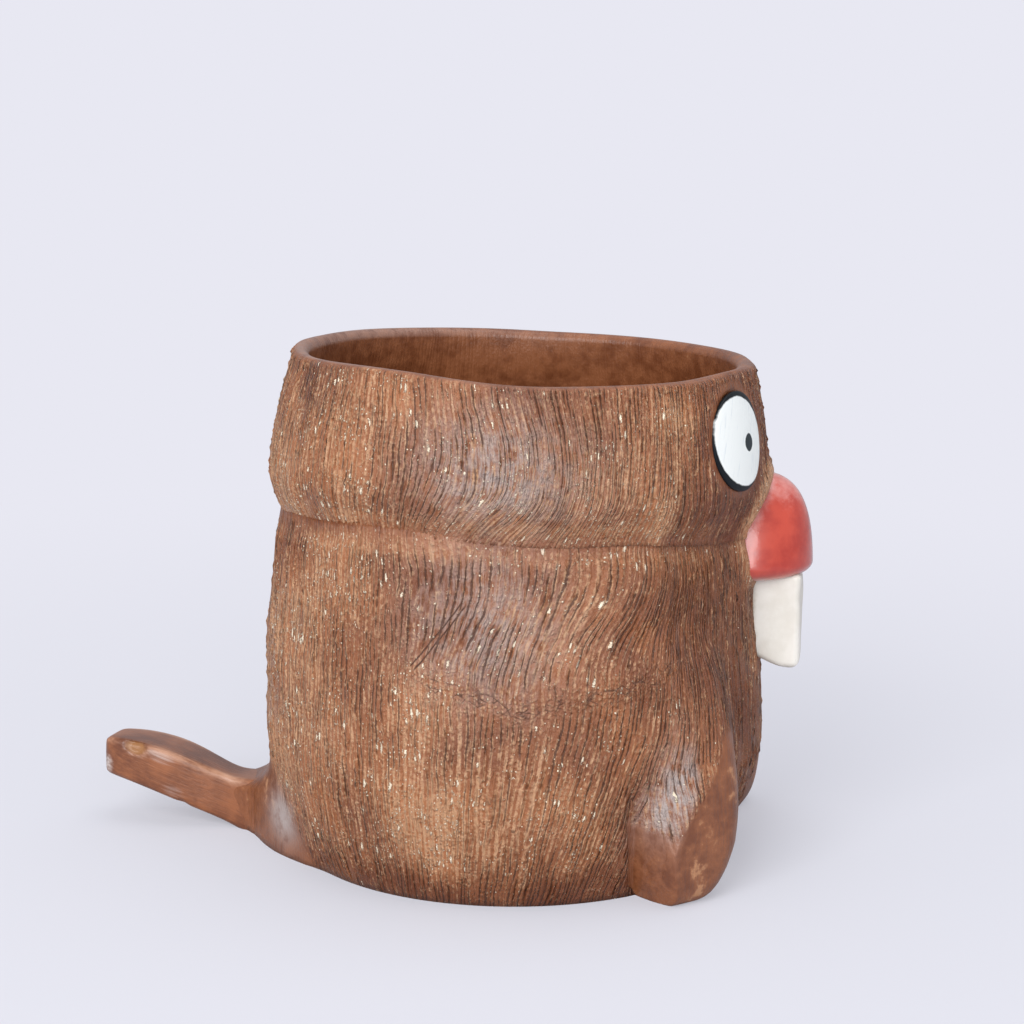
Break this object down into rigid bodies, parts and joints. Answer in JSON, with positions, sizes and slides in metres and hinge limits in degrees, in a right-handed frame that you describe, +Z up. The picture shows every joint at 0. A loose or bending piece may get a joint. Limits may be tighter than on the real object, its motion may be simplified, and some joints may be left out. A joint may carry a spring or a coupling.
{
  "type": "ceramic planter",
  "caption": "Round hand-built ceramic planter shaped as a sitting animal with combed brown fur, an open top, a raised paddle tail, low forelegs, round eyes, a red nose and front teeth.",
  "frame": {"origin": "on the table, under the middle of the pot, at the centre of the flat underside", "axes": "+X to the animal's front (nose), -X to the tail, +Y to the animal's left, +Z up"},
  "size_m": [0.2089, 0.1432, 0.1444],
  "materials": {
    "fur_brown": "combed clay, brown paint with a satin varnish",
    "smooth_brown": "smoothed clay, brown paint with a satin varnish",
    "nose_red": "glossy red",
    "tooth_cream": "soft gloss cream",
    "eye_white": "glossy white with a black outline and dot",
    "bare_clay": "bare fired clay"
  },
  "bodies": {
    "root": {"base_slab": "bare_clay", "body_wall": "fur_brown", "head_band": "fur_brown", "tail": "smooth_brown", "right_foreleg": "fur_brown", "left_foreleg": "fur_brown", "nose": "nose_red", "right_incisor": "tooth_cream", "left_incisor": "tooth_cream", "right_eye": "eye_white", "left_eye": "eye_white"}
  },
  "joints": []
}
